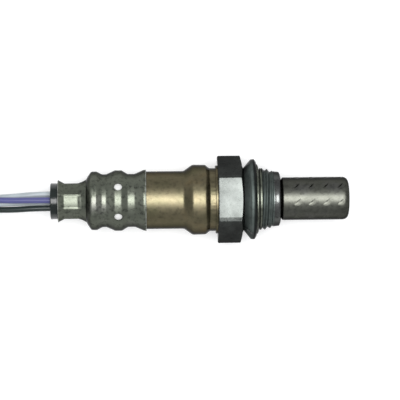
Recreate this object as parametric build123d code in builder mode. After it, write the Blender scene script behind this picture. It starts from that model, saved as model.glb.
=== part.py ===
from build123d import *

from math import cos, pi, radians, sin, tan
import os

# Oxygen sensor with a screw-in housing, four leads and a connector.
# The sensor's axis is X and its gasket seat is at X = 0, with the probe tip towards +X.
# It lies on its side with one flat of the hexagon up, so the surface under it is at Z = -gasket radius.
# Lengths are in millimetres and angles in degrees.

# Clearances
SLIP = 0.05            # between turned pieces that slide together
LOOSE = 0.1            # between pieces that are put in by hand
CUT = 1.0              # how far a cutting body runs past the face that it cuts

# Housing
HEX_ACROSS_FLATS = 22.0
HEX_LENGTH = 7.45
HEX_EDGE = 0.5             # rounding of the six long edges
HEX_CHAMFER_ANGLE = 15.0
HEX_FACE_RADIUS = 9.3      # flat ring left inside the front chamfer
THREAD_RADIUS = 9.0        # M18 x 1.5, modelled at its major radius
THREAD_START = 4.9
THREAD_END = 8.4
THREAD_RELIEF_RADIUS = 8.1
NOSE_RADIUS = 7.9
NOSE_TAPER = 0.3
NOSE_END = 10.7
NOSE_EDGE = 0.9
COLLAR_RADIUS = 9.85
COLLAR_LENGTH = 0.6
SPIGOT_RADIUS = 8.3
SPIGOT_END = -12.9         # rear end of the rolled rim
RIM_THICKNESS = 0.9
RIM_BORE_RADIUS = 5.0
HOUSING_BORE_RADIUS = 6.2
SEAT_X = 1.4               # shoulder that carries the sensing element
THROAT_RADIUS = 4.3

# Gasket, a folded ring of sheet
GASKET_INNER_RADIUS = 8.6  # smaller than the thread, so the ring can't fall off
GASKET_DEPTH = 3.02        # from the ring's bore to its crest
GASKET_LENGTH = 4.3
GASKET_CREST_START = 2.3
GASKET_CREST_END = 3.15
GASKET_EDGE_SHARE = 0.32   # part of the ring's depth at which its two edges turn in to the crest
GASKET_ROUNDING = 0.6
GASKET_FOLD = 0.45
GASKET_FOLD_DEPTH = 1.9

# Protection tubes over the tip
TUBE_WALL = 0.4
OUTER_TUBE_RADIUS = 6.2
OUTER_TUBE_NECK_RADIUS = 5.35
OUTER_TUBE_END = 30.8
OUTER_TUBE_CORNER = 1.7
TUBE_DOME_RISE = 0.45
INNER_TUBE_RADIUS = 4.6
INNER_TUBE_END = 28.2
FLANGE_SEAT_X = 7.8
FLANGE_RADIUS = 6.5
LOUVRE_RADIUS = 1.25
LOUVRE_BEND = 24.0
LOUVRE_TURN = -45.0        # the straight edge of each louvre slants across the tube
LOUVRE_FIRST_X = 15.3
LOUVRE_PITCH = 4.15
LOUVRE_COLUMNS = 4
LOUVRE_ROWS = 8
LOUVRE_PHASE = -12.0       # first row, counted from +Z towards +Y
INNER_HOLE_RADIUS = 0.9
INNER_HOLE_COUNT = 6
INNER_HOLE_X = 12.6
TIP_HOLE_RADIUS = 1.1

# Sensing element, a closed ceramic thimble, and its heater
ELEMENT_TIP_X = 25.4
ELEMENT_TIP_RADIUS = 2.4
ELEMENT_ROOT_RADIUS = 3.2
ELEMENT_FLANGE_RADIUS = 6.0
ELEMENT_FLANGE_LENGTH = 3.0
ELEMENT_REAR_RADIUS = 3.6
ELEMENT_REAR_X = -15.0
ELEMENT_BORE_RADIUS = 1.8
HEATER_RADIUS = 1.3
HEATER_FRONT_X = 22.5
HEATER_REAR_X = -20.0
PACKING_THICKNESS = 0.6
TALC_LENGTH = 4.0
RETAINER_THICKNESS = 0.8

# Rear cover, drawn from sheet
COVER_WALL = 0.5
COVER_NECK_RADIUS = 9.1
COVER_BULGE_RADIUS = 10.13
COVER_NECK_END = -9.7
COVER_BULGE_START = -10.9
COVER_BULGE_END = -14.8
COVER_BARREL_RADIUS = 8.36
COVER_CONE_END = -17.3
COVER_STEP_X = -28.3
COVER_STEP_END = -29.7
COVER_REAR_RADIUS = 6.7
COVER_SHOULDER_X = -44.0
COVER_CRIMP_X = -45.8
COVER_REAR_END = -53.2
COVER_ROUNDINGS = [0.4, 0.6, 1.0, 1.0, 0.8, 0.5, 0.8, 0.5]
AIR_HOLE_RADIUS = 0.8

# Vent cover, a corrugated sheet sleeve crimped round the grommet
VENT_WALL = 0.35
VENT_LIP_X = -28.35
VENT_LIP_RADIUS = 8.85
VENT_NECK_RADIUS = 7.6
FRONT_NECK_START = -31.4
FRONT_NECK_END = -33.6
VENT_BULGE_START = -35.2
VENT_BULGE_END = -36.9
VENT_BULGE_RADIUS = 8.75
REAR_NECK_START = -39.6
REAR_NECK_END = -40.6
REAR_BULGE_START = -42.4
REAR_BULGE_END = -43.9
REAR_BULGE_RADIUS = 8.48
SHOULDER_X = -45.2
SHOULDER_RADIUS = 6.2
CRIMP_START = -47.0
CRIMP_END = -51.7
CRIMP_RADIUS = 5.3
CRIMP_LIP_X = -53.4
CRIMP_LIP_RADIUS = 6.12
VENT_ROUNDINGS = [1.5, 1.0, 1.2, 1.2, 0.9, 0.9, 0.9, 0.9, 0.5, 0.5, 0.8]
VENT_HOLE_X = -36.0
VENT_HOLE_RADIUS = 1.15
VENT_HOLE_COUNT = 6
VENT_HOLE_PHASE = 27.0     # first hole, counted from +Z towards +Y

# Filter under the vent holes, spacer, spring ring and grommet
FILTER_START = -31.9
FILTER_END = -40.7
SEPARATOR_RADIUS = 5.9
SEPARATOR_FRONT_X = -18.2
SEPARATOR_REAR_X = -39.6
SEPARATOR_POCKET = 3.0
SPRING_X = -24.0
SPRING_LENGTH = 4.0
SPRING_WALL = 0.3
GROMMET_FACE_X = -55.6
GROMMET_FLANGE_RADIUS = 5.25
GROMMET_FRONT_X = -41.0
GROMMET_SHOULDER_START = -43.4
GROMMET_SHOULDER_END = -45.5
GROMMET_EDGE = 0.3

# Leads
LEAD_RADIUS = 0.875
LEAD_CIRCLE_RADIUS = 2.0   # the lead bores lie on this circle
LEAD_PHASE = 8.5           # blue lead, counted from +Z towards +Y
LEAD_START_X = -37.5
TERMINAL_BARREL_RADIUS = 0.95
TERMINAL_BARREL_LENGTH = 4.5
TERMINAL_BLADE_WIDTH = 1.2
TERMINAL_BLADE_THICKNESS = 0.4
SENSOR_BLADE_X = -16.2     # blades of the signal and ground terminals reach the contacts
HEATER_BLADE_X = -18.6     # blades of the heater terminals reach the heater's end
CONTACT_WALL = 0.3

# Cable sleeve, coil and connector
SLEEVE_RADIUS = 2.6
COIL_TURN_RADIUS = 26.0
COIL_LAYERS = 2
COIL_PITCH = 5.8
COIL_NORTH_X = -117.0      # the cable joins the coil here, on the side towards +Y
COIL_NORTH_Y = 8.6
COIL_EXIT_START = 565.0    # angle round the coil at which the cable starts to climb out of it
COIL_EXIT_STEP = 40.0
COIL_EXIT_RISES = [-0.1, 1.4, 4.2, 5.7]
PLUG_BEND_RADIUS = 20.6    # last bend, from the coil's north side round to the connector
PLUG_BEND_STEP = 30.0
PLUG_BEND_RISES = [7.2, 9.8, 11.2]
TIE_THICKNESS = 0.8
TIE_WIDTH = 5.0
CONNECTOR_Y = -12.4
CONNECTOR_WIDTH = 20.0
CONNECTOR_HEIGHT = 17.0
CONNECTOR_LENGTH = 32.0
CONNECTOR_WALL = 1.8
CONNECTOR_EDGE = 1.2
SOCKET_DEPTH = 14.0
SOCKET_EDGE = 1.0
SEAL_LENGTH = 7.0
PIN_WIDTH = 1.5
PIN_THICKNESS = 0.8
PIN_LENGTH = 16.0
PIN_SPACING_X = 7.0
PIN_SPACING_Z = 5.4
LOCK_THICKNESS = 3.0
KEY_SPACING = 12.0         # two keys on top of the socket
KEY_WIDTH = 1.6
KEY_HEIGHT = 1.0
LATCH_WIDTH = 6.0
LATCH_HEIGHT = 1.6
LATCH_START = 4.0          # from the socket's mouth to the foot of the latch ramp
LATCH_CREST = 7.5
LATCH_END = 8.6
GRIP_RIBS = 4
GRIP_RIB_WIDTH = 13.0
GRIP_RIB_LENGTH = 1.0
GRIP_RIB_HEIGHT = 0.6
GRIP_RIB_PITCH = 2.4

gasket_radius = GASKET_INNER_RADIUS + GASKET_DEPTH
FLOOR_Z = -gasket_radius

os.makedirs("parts", exist_ok=True)


def keep(piece, name):
    """Labels a finished piece and writes it under that name."""
    piece.label = name
    export_step(piece, f"parts/{name}.step")


def turned(*outline):
    """A turned piece: a closed outline of (x, radius) corners, revolved about the axis."""
    with BuildPart() as piece:
        with BuildSketch():
            with BuildLine():
                Polyline(*outline, close=True)
            make_face()
        revolve(axis=Axis.X)
    return piece.part


def ring(x_start, x_end, inner_radius, outer_radius):
    """A plain ring round the axis."""
    return turned((x_start, inner_radius), (x_end, inner_radius),
                  (x_end, outer_radius), (x_start, outer_radius))


def formed(middle_line, corner_radii, wall):
    """A sheet shell of revolution, given by the rounded middle line of its wall."""
    with BuildPart() as shell:
        with BuildSketch():
            with BuildLine() as middle:
                FilletPolyline(*middle_line, radius=corner_radii)
            trace(middle.line, line_width=wall)
            split(bisect_by=Plane.ZX)
        revolve(axis=Axis.X)
    return shell.part


def radial_plane(x, angle, radius=0.0):
    """A plane facing outwards at an angle round the axis, counted from +Z towards +Y."""
    outwards = Vector(0, sin(radians(angle)), cos(radians(angle)))
    return Plane(origin=Vector(x, 0, 0) + outwards * radius, x_dir=(1, 0, 0), z_dir=outwards)


def around(count, phase=0.0):
    """Evenly spaced angles round the axis."""
    return [phase + step * 360 / count for step in range(count)]


def circle_point(angle, radius):
    """The (y, z) place at an angle round the axis, counted from +Z towards +Y."""
    return radius * sin(radians(angle)), radius * cos(radians(angle))


# Housing: hexagon, collar, rolled rear rim and threaded shank in one piece
hex_corner_radius = HEX_ACROSS_FLATS / 2 / cos(radians(30))
chamfer_depth = (hex_corner_radius - HEX_FACE_RADIUS) * tan(radians(HEX_CHAMFER_ANGLE))
collar_x = -HEX_LENGTH - COLLAR_LENGTH
flange_pocket_end = FLANGE_SEAT_X + 2 * TUBE_WALL + LOOSE
lip_bore_radius = OUTER_TUBE_NECK_RADIUS + SLIP
rim_x = SPIGOT_END + RIM_THICKNESS

with BuildPart() as housing:
    with BuildSketch(Plane.YZ.offset(-HEX_LENGTH)) as hexagon:
        RegularPolygon(HEX_ACROSS_FLATS / 2, 6, major_radius=False)
        fillet(hexagon.vertices(), radius=HEX_EDGE)
    extrude(amount=HEX_LENGTH)
    add(turned((-HEX_LENGTH, 0), (0, 0), (0, HEX_FACE_RADIUS), (-chamfer_depth, hex_corner_radius),
               (-chamfer_depth, hex_corner_radius + CUT), (-HEX_LENGTH, hex_corner_radius + CUT)),
        mode=Mode.INTERSECT)
    add(turned((SPIGOT_END, 0), (0, 0), (0, COLLAR_RADIUS - CUT), (collar_x + COLLAR_LENGTH, COLLAR_RADIUS),
               (collar_x, COLLAR_RADIUS), (collar_x, SPIGOT_RADIUS),
               (SPIGOT_END + RIM_THICKNESS / 2, SPIGOT_RADIUS),
               (SPIGOT_END, SPIGOT_RADIUS - RIM_THICKNESS / 2)))
    add(turned((0, 0), (NOSE_END, 0), (NOSE_END, NOSE_RADIUS - NOSE_TAPER - NOSE_EDGE),
               (NOSE_END - NOSE_EDGE, NOSE_RADIUS - NOSE_TAPER), (THREAD_END + 2 * NOSE_EDGE / 3, NOSE_RADIUS),
               (THREAD_END, THREAD_RADIUS), (THREAD_START, THREAD_RADIUS),
               (THREAD_START - (THREAD_RADIUS - THREAD_RELIEF_RADIUS), THREAD_RELIEF_RADIUS),
               (0, THREAD_RELIEF_RADIUS)))
    add(ring(rim_x, SEAT_X, 0, HOUSING_BORE_RADIUS), mode=Mode.SUBTRACT)
    add(ring(SPIGOT_END - CUT, rim_x, 0, RIM_BORE_RADIUS), mode=Mode.SUBTRACT)
    add(ring(SEAT_X, FLANGE_SEAT_X, 0, THROAT_RADIUS), mode=Mode.SUBTRACT)
    add(ring(FLANGE_SEAT_X, flange_pocket_end, 0, FLANGE_RADIUS + SLIP), mode=Mode.SUBTRACT)
    add(ring(flange_pocket_end, NOSE_END + CUT, 0, lip_bore_radius), mode=Mode.SUBTRACT)
    fillet(housing.edges().filter_by(GeomType.CIRCLE).group_by(Axis.X)[-1].sort_by(SortBy.RADIUS)[-1],
           radius=NOSE_EDGE / 2)
keep(housing.part, "housing")

# Gasket: a crushed ring of folded sheet, with the fold open towards the threads
gasket_front_x = SLIP + GASKET_LENGTH
gasket_edge_radius = GASKET_INNER_RADIUS + GASKET_EDGE_SHARE * GASKET_DEPTH
groove_radius = (GASKET_INNER_RADIUS + gasket_edge_radius) / 2
with BuildPart() as gasket:
    with BuildSketch() as fold:
        with BuildLine():
            Polyline((SLIP, GASKET_INNER_RADIUS), (SLIP, gasket_edge_radius),
                     (GASKET_CREST_START, gasket_radius), (GASKET_CREST_END, gasket_radius),
                     (gasket_front_x, gasket_edge_radius), (gasket_front_x, GASKET_INNER_RADIUS), close=True)
        make_face()
        fillet(fold.vertices().group_by(Axis.Y)[-1], radius=GASKET_ROUNDING)
    revolve(axis=Axis.X)
    with BuildSketch():
        with Locations((gasket_front_x, groove_radius)):
            RectangleRounded(2 * GASKET_FOLD_DEPTH, GASKET_FOLD, GASKET_FOLD / 2 - SLIP)
    revolve(axis=Axis.X, mode=Mode.SUBTRACT)
keep(gasket.part, "gasket")

# Outer protection tube: necked and flanged into the nose, with rows of louvres
outer_mid = OUTER_TUBE_RADIUS - TUBE_WALL / 2
outer_neck_mid = OUTER_TUBE_NECK_RADIUS - TUBE_WALL / 2
outer_flange_x = FLANGE_SEAT_X + 1.5 * TUBE_WALL + SLIP
louvre_angles = around(LOUVRE_ROWS, LOUVRE_PHASE)
louvre_places = [LOUVRE_FIRST_X + column * LOUVRE_PITCH for column in range(LOUVRE_COLUMNS)]
slot_planes = [radial_plane(x, angle, outer_mid).rotated((0, 0, LOUVRE_TURN))
               for angle in louvre_angles for x in louvre_places]
flap_planes = [plane.offset(-TUBE_WALL / 4).rotated((0, LOUVRE_BEND, 0)) for plane in slot_planes]

with BuildPart() as outer_tip_cover:
    add(formed([(outer_flange_x, FLANGE_RADIUS), (outer_flange_x, outer_neck_mid),
                (NOSE_END + TUBE_WALL / 2 + SLIP, outer_neck_mid), (NOSE_END + 1.5 * TUBE_WALL, outer_mid),
                (OUTER_TUBE_END - TUBE_DOME_RISE - TUBE_WALL / 2, outer_mid),
                (OUTER_TUBE_END - TUBE_WALL / 2, -TUBE_WALL)],
               [TUBE_WALL / 2 + SLIP, TUBE_WALL / 2 + SLIP, TUBE_WALL / 2 + SLIP, OUTER_TUBE_CORNER], TUBE_WALL))
    with BuildSketch(*slot_planes):
        with BuildLine():
            Line((0, -LOUVRE_RADIUS), (0, LOUVRE_RADIUS))
            ThreePointArc((0, LOUVRE_RADIUS), (LOUVRE_RADIUS, 0), (0, -LOUVRE_RADIUS))
        make_face()
    extrude(amount=2 * TUBE_WALL, both=True, mode=Mode.SUBTRACT)
    with BuildSketch(*flap_planes):
        with BuildLine():
            Line((-SLIP, -LOUVRE_RADIUS), (-SLIP, LOUVRE_RADIUS))
            ThreePointArc((-SLIP, LOUVRE_RADIUS), (LOUVRE_RADIUS - SLIP, 0), (-SLIP, -LOUVRE_RADIUS))
        make_face()
    extrude(amount=TUBE_WALL / 4, both=True)
keep(outer_tip_cover.part, "outer_tip_cover")

# Inner protection tube: flanged behind the outer one, with inlet holes near its root and one in its end
inner_mid = INNER_TUBE_RADIUS - TUBE_WALL / 2
inner_flange_x = FLANGE_SEAT_X + TUBE_WALL / 2
with BuildPart() as inner_tip_cover:
    add(formed([(inner_flange_x, FLANGE_RADIUS), (inner_flange_x, inner_mid),
                (INNER_TUBE_END - TUBE_WALL / 2, inner_mid), (INNER_TUBE_END - TUBE_WALL / 2, -TUBE_WALL)],
               [TUBE_WALL, OUTER_TUBE_CORNER], TUBE_WALL))
    with BuildSketch(*[radial_plane(INNER_HOLE_X, angle) for angle in around(INNER_HOLE_COUNT)]):
        Circle(INNER_HOLE_RADIUS)
    extrude(amount=INNER_TUBE_RADIUS + CUT, mode=Mode.SUBTRACT)
    with BuildSketch(Plane.YZ.offset(INNER_TUBE_END - CUT)):
        Circle(TIP_HOLE_RADIUS)
    extrude(amount=2 * CUT, mode=Mode.SUBTRACT)
keep(inner_tip_cover.part, "inner_tip_cover")

# Sensing element: a closed thimble with a flange, clamped on the packing ring
flange_front_x = SEAT_X - PACKING_THICKNESS
flange_rear_x = flange_front_x - ELEMENT_FLANGE_LENGTH
flange_edge = ELEMENT_FLANGE_LENGTH / 5
with BuildPart() as sensing_element:
    add(turned((ELEMENT_REAR_X, 0), (ELEMENT_TIP_X, 0), (ELEMENT_TIP_X, ELEMENT_TIP_RADIUS),
               (flange_front_x + ELEMENT_FLANGE_LENGTH, ELEMENT_ROOT_RADIUS),
               (flange_front_x, ELEMENT_ROOT_RADIUS),
               (flange_front_x, ELEMENT_FLANGE_RADIUS - flange_edge),
               (flange_front_x - flange_edge, ELEMENT_FLANGE_RADIUS),
               (flange_rear_x + flange_edge, ELEMENT_FLANGE_RADIUS),
               (flange_rear_x, ELEMENT_FLANGE_RADIUS - flange_edge), (flange_rear_x, ELEMENT_REAR_RADIUS),
               (ELEMENT_REAR_X, ELEMENT_REAR_RADIUS)))
    fillet(sensing_element.edges().filter_by(GeomType.CIRCLE).group_by(Axis.X)[-1],
           radius=ELEMENT_TIP_RADIUS * 0.95)
    add(ring(ELEMENT_REAR_X - CUT, ELEMENT_TIP_X - ELEMENT_TIP_RADIUS / 2, 0, ELEMENT_BORE_RADIUS),
        mode=Mode.SUBTRACT)
keep(sensing_element.part, "sensing_element")

with BuildPart() as heater_rod:
    with BuildSketch(Plane.YZ.offset(HEATER_REAR_X)):
        Circle(HEATER_RADIUS)
    extrude(amount=HEATER_FRONT_X - HEATER_REAR_X)
    chamfer(heater_rod.edges(), length=HEATER_RADIUS / 5)
keep(heater_rod.part, "heater_rod")

# Seal stack behind the flange: packing ring, pressed powder, ceramic bush and steel retainer
packing_ring = ring(flange_front_x, SEAT_X, THROAT_RADIUS, HOUSING_BORE_RADIUS - LOOSE)
talc_rear_x = flange_rear_x - TALC_LENGTH
retainer_x = rim_x + RETAINER_THICKNESS
stack_inner = ELEMENT_REAR_RADIUS + LOOSE
stack_outer = HOUSING_BORE_RADIUS - LOOSE
keep(packing_ring, "packing_ring")
keep(ring(talc_rear_x, flange_rear_x, stack_inner, stack_outer), "talc_ring")
keep(ring(retainer_x, talc_rear_x, stack_inner, stack_outer), "ceramic_bush")
keep(ring(rim_x, retainer_x, stack_inner + LOOSE, stack_outer), "retainer_ring")

# Rear cover: welded to the collar, stepped down under the vent cover and drawn in round the grommet
cover_profile = [(collar_x, COVER_NECK_RADIUS), (COVER_NECK_END, COVER_NECK_RADIUS),
                 (COVER_BULGE_START, COVER_BULGE_RADIUS), (COVER_BULGE_END, COVER_BULGE_RADIUS),
                 (COVER_CONE_END, COVER_BARREL_RADIUS), (COVER_STEP_X, COVER_BARREL_RADIUS),
                 (COVER_STEP_END, COVER_REAR_RADIUS), (COVER_SHOULDER_X, COVER_REAR_RADIUS),
                 (COVER_CRIMP_X, CRIMP_RADIUS - VENT_WALL - SLIP),
                 (COVER_REAR_END, CRIMP_RADIUS - VENT_WALL - SLIP)]
with BuildPart() as rear_cover:
    add(formed([(x, radius - COVER_WALL / 2) for x, radius in cover_profile], COVER_ROUNDINGS, COVER_WALL))
    with BuildSketch(*[radial_plane(VENT_HOLE_X, angle) for angle in around(VENT_HOLE_COUNT, VENT_HOLE_PHASE)]):
        Circle(AIR_HOLE_RADIUS)
    extrude(amount=COVER_REAR_RADIUS + CUT, mode=Mode.SUBTRACT)
keep(rear_cover.part, "rear_cover")

# Vent cover: two bulges between necks that clamp the filter, a skirt in front and a crimp behind
vent_profile = [(VENT_LIP_X, VENT_LIP_RADIUS),
                (FRONT_NECK_START, VENT_NECK_RADIUS), (FRONT_NECK_END, VENT_NECK_RADIUS),
                (VENT_BULGE_START, VENT_BULGE_RADIUS), (VENT_BULGE_END, VENT_BULGE_RADIUS),
                (REAR_NECK_START, VENT_NECK_RADIUS), (REAR_NECK_END, VENT_NECK_RADIUS),
                (REAR_BULGE_START, REAR_BULGE_RADIUS), (REAR_BULGE_END, REAR_BULGE_RADIUS),
                (SHOULDER_X, SHOULDER_RADIUS), (CRIMP_START, CRIMP_RADIUS), (CRIMP_END, CRIMP_RADIUS),
                (CRIMP_LIP_X, CRIMP_LIP_RADIUS)]
vent_planes = [radial_plane(VENT_HOLE_X, angle) for angle in around(VENT_HOLE_COUNT, VENT_HOLE_PHASE)]
with BuildPart() as vent_cover:
    add(formed([(x, radius - VENT_WALL / 2) for x, radius in vent_profile], VENT_ROUNDINGS, VENT_WALL))
    with BuildSketch(*vent_planes):
        Circle(VENT_HOLE_RADIUS)
    extrude(amount=VENT_BULGE_RADIUS + CUT, mode=Mode.SUBTRACT)
keep(vent_cover.part, "vent_cover")

filter_inner = COVER_REAR_RADIUS + SLIP
filter_outer = VENT_NECK_RADIUS - VENT_WALL - SLIP
keep(ring(FILTER_END, FILTER_START, filter_inner, filter_outer), "filter_sleeve")

# Ceramic separator: four bores for the terminals and a pocket for the heater's end
lead_names = ["lead_ground", "lead_heater_a", "lead_heater_b", "lead_signal"]
lead_angles = dict(zip(lead_names, around(4, LEAD_PHASE)))
bore_places = [circle_point(angle, LEAD_CIRCLE_RADIUS) for angle in lead_angles.values()]
with BuildPart() as separator:
    with BuildSketch(Plane.YZ.offset(SEPARATOR_REAR_X)):
        Circle(SEPARATOR_RADIUS)
    extrude(amount=SEPARATOR_FRONT_X - SEPARATOR_REAR_X)
    chamfer(separator.edges(), length=SLIP * 8)
    with BuildSketch(Plane.YZ.offset(SEPARATOR_REAR_X - CUT)):
        with Locations(*bore_places):
            Circle(TERMINAL_BARREL_RADIUS + LOOSE)
    extrude(amount=SEPARATOR_FRONT_X - SEPARATOR_REAR_X + 2 * CUT, mode=Mode.SUBTRACT)
    with BuildSketch(Plane.YZ.offset(SEPARATOR_FRONT_X - SEPARATOR_POCKET)):
        Circle(HEATER_RADIUS + LOOSE)
    extrude(amount=SEPARATOR_POCKET + CUT, mode=Mode.SUBTRACT)
keep(separator.part, "separator")

# Spring ring: a wavy band that holds the separator in the middle of the barrel
spring_outer_mid = COVER_BARREL_RADIUS - COVER_WALL - SLIP - SPRING_WALL / 2
spring_inner_mid = SEPARATOR_RADIUS + SLIP + SPRING_WALL / 2
with BuildPart() as spring_ring:
    add(formed([(SPRING_X - SPRING_LENGTH / 2, spring_inner_mid),
                (SPRING_X - SPRING_LENGTH / 4, spring_inner_mid),
                (SPRING_X - SPRING_LENGTH / 8, spring_outer_mid),
                (SPRING_X + SPRING_LENGTH / 8, spring_outer_mid),
                (SPRING_X + SPRING_LENGTH / 4, spring_inner_mid),
                (SPRING_X + SPRING_LENGTH / 2, spring_inner_mid)],
               SPRING_WALL, SPRING_WALL))
keep(spring_ring.part, "spring_ring")

# Grommet: a rubber plug under the crimp, with four bores and a flange outside
grommet_neck = CRIMP_RADIUS - VENT_WALL - COVER_WALL - 2 * SLIP
grommet_front = COVER_REAR_RADIUS - COVER_WALL - SLIP
with BuildPart() as grommet:
    add(turned((GROMMET_FACE_X, 0), (GROMMET_FRONT_X, 0), (GROMMET_FRONT_X, grommet_front),
               (GROMMET_SHOULDER_START, grommet_front), (GROMMET_SHOULDER_END, grommet_neck),
               (CRIMP_LIP_X - SLIP, grommet_neck), (CRIMP_LIP_X - SLIP, GROMMET_FLANGE_RADIUS),
               (GROMMET_FACE_X, GROMMET_FLANGE_RADIUS)))
    fillet(grommet.edges().filter_by(GeomType.CIRCLE).group_by(Axis.X)[0], radius=GROMMET_EDGE)
    with BuildSketch(Plane.YZ.offset(GROMMET_FACE_X - CUT)):
        with Locations(*bore_places):
            Circle(LEAD_RADIUS + SLIP)
    extrude(amount=GROMMET_FRONT_X - GROMMET_FACE_X + 2 * CUT, mode=Mode.SUBTRACT)
keep(grommet.part, "grommet")

# Contacts on the sensing element: one grips its bore round the heater, one grips its outside
contact_rear_x = SENSOR_BLADE_X - 2 * CONTACT_WALL
inner_grip = ELEMENT_BORE_RADIUS - SLIP
with BuildPart() as inner_contact:
    add(ring(contact_rear_x, ELEMENT_REAR_X + 4 * CUT, inner_grip - CONTACT_WALL, inner_grip))
keep(inner_contact.part, "inner_contact")

outer_grip = ELEMENT_REAR_RADIUS + SLIP
with BuildPart() as outer_contact:
    add(ring(ELEMENT_REAR_X - CUT, SPIGOT_END - LOOSE, outer_grip, outer_grip + CONTACT_WALL))
    add(ring(ELEMENT_REAR_X - CUT, ELEMENT_REAR_X - CUT + CONTACT_WALL, ELEMENT_BORE_RADIUS + 4 * LOOSE,
             outer_grip + CONTACT_WALL))
keep(outer_contact.part, "outer_contact")

# Four terminals: a crimp barrel on each lead and a blade forward to its contact
terminal_names = [name.replace("lead", "terminal") for name in lead_names]
blade_ends = dict(zip(lead_names, [SENSOR_BLADE_X, HEATER_BLADE_X, HEATER_BLADE_X, SENSOR_BLADE_X]))
for lead_name, terminal_name in zip(lead_names, terminal_names):
    angle = lead_angles[lead_name]
    barrel_place = circle_point(angle, LEAD_CIRCLE_RADIUS)
    barrel_end = LEAD_START_X + TERMINAL_BARREL_LENGTH
    with BuildPart() as terminal:
        with BuildSketch(Plane.YZ.offset(LEAD_START_X)):
            with Locations(barrel_place):
                Circle(TERMINAL_BARREL_RADIUS)
        extrude(amount=TERMINAL_BARREL_LENGTH)
        with BuildSketch(Plane.YZ.offset(barrel_end)):
            with Locations(Location((*barrel_place, 0), (0, 0, -angle))):
                Rectangle(TERMINAL_BLADE_WIDTH, TERMINAL_BLADE_THICKNESS)
        extrude(amount=blade_ends[lead_name] - barrel_end)
    keep(terminal.part, terminal_name)

# Free leads: each leaves its bore straight, sags, and closes up with the others at the sleeve's mouth.
# Stations along the bundle as (x, z) of its middle, and each lead's (y, z) beside that middle.
bundle_line = [(-55.6, 0.0), (-60.5, -0.05), (-66.0, -0.45), (-72.5, -1.35), (-79.5, -2.9), (-86.8, -4.95)]
lead_sides = {
    "lead_ground": [(0.32, 1.95), (0.32, 1.8), (0.55, 1.7), (1.0, 1.1), (0.95, 0.95)],
    "lead_heater_a": [(1.95, -0.35), (1.45, -0.6), (1.15, -0.85), (0.95, -0.95), (0.95, -0.95)],
    "lead_heater_b": [(-0.4, -1.7), (-0.4, -0.7), (-0.55, 0.0), (-0.9, 0.75), (-0.95, 0.95)],
    "lead_signal": [(-2.0, 0.1), (-2.35, -0.3), (-2.3, -0.9), (-1.4, -1.05), (-0.95, -0.95)],
}


def corner_radii(points):
    """The largest arcs that the runs of a cord's route leave room for."""
    places = [Vector(*point) for point in points]
    radii = []
    for before, corner, after in zip(places, places[1:], places[2:]):
        arrive = corner - before
        leave = after - corner
        half_turn = radians(arrive.get_angle(leave)) / 2
        radii.append(0.45 * min(arrive.length, leave.length) / tan(half_turn))
    return radii


def cord_tube(name, points, radius):
    """A round cord along straight runs that are joined by tangent arcs."""
    radii = corner_radii(points)
    with BuildPart() as tube:
        with BuildLine():
            route = FilletPolyline(*points, radius=radii)
        with BuildSketch(Plane(origin=route @ 0, z_dir=route % 0)):
            Circle(radius)
        sweep(path=route)
    share = tube.part.volume / (pi * radius ** 2 * route.length)
    print(name, "length", round(route.length, 1), "radii", [round(r, 1) for r in radii],
          "volume over section times length", round(share, 4))
    return tube.part


(last_x, last_z), (mouth_x, mouth_z) = bundle_line[-2:]
mouth_slope = (mouth_z - last_z) / (mouth_x - last_x)
for name in lead_names:
    exit_y, exit_z = circle_point(lead_angles[name], LEAD_CIRCLE_RADIUS)
    route = [(GROMMET_FACE_X, exit_y, exit_z)]
    for (x, z), (side_y, side_z) in zip(bundle_line[1:-1], lead_sides[name][:-1]):
        route.append((x, side_y, z + side_z))
    side_y, side_z = lead_sides[name][-1]
    route.append((mouth_x - mouth_slope * side_z, side_y, mouth_z + side_z))
    with BuildPart() as lead:
        with BuildSketch(Plane.YZ.offset(LEAD_START_X)):
            with Locations((exit_y, exit_z)):
                Circle(LEAD_RADIUS)
        extrude(amount=GROMMET_FACE_X - LEAD_START_X)
        add(cord_tube(name, route, LEAD_RADIUS))
    keep(lead.part, name)

# Coil of the cable sleeve: its turns lie on each other, and its solid is the ring that they fill
sleeve_floor_z = FLOOR_Z + SLEEVE_RADIUS
coil_height = 2 * SLEEVE_RADIUS + (COIL_LAYERS - 1) * COIL_PITCH
coil_inner = COIL_TURN_RADIUS - SLEEVE_RADIUS
coil_outer = COIL_TURN_RADIUS + SLEEVE_RADIUS
coil_centre_y = COIL_NORTH_Y - COIL_TURN_RADIUS
coil_south_y = coil_centre_y - COIL_TURN_RADIUS
coil_rounding = SLEEVE_RADIUS * 0.8
with BuildPart() as cable_coil:
    with BuildSketch(Plane.XY.offset(FLOOR_Z)):
        with Locations((COIL_NORTH_X, coil_centre_y)):
            Circle(coil_outer)
            Circle(coil_inner, mode=Mode.SUBTRACT)
    extrude(amount=coil_height)
    fillet(cable_coil.edges().filter_by(GeomType.CIRCLE), radius=coil_rounding)
    with Locations((COIL_NORTH_X, coil_south_y, FLOOR_Z)):
        Box(TIE_WIDTH + 2 * LOOSE, 4 * SLEEVE_RADIUS, TIE_THICKNESS + LOOSE,
            align=(Align.CENTER, Align.CENTER, Align.MIN), mode=Mode.SUBTRACT)
keep(cable_coil.part, "cable_coil")

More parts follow.
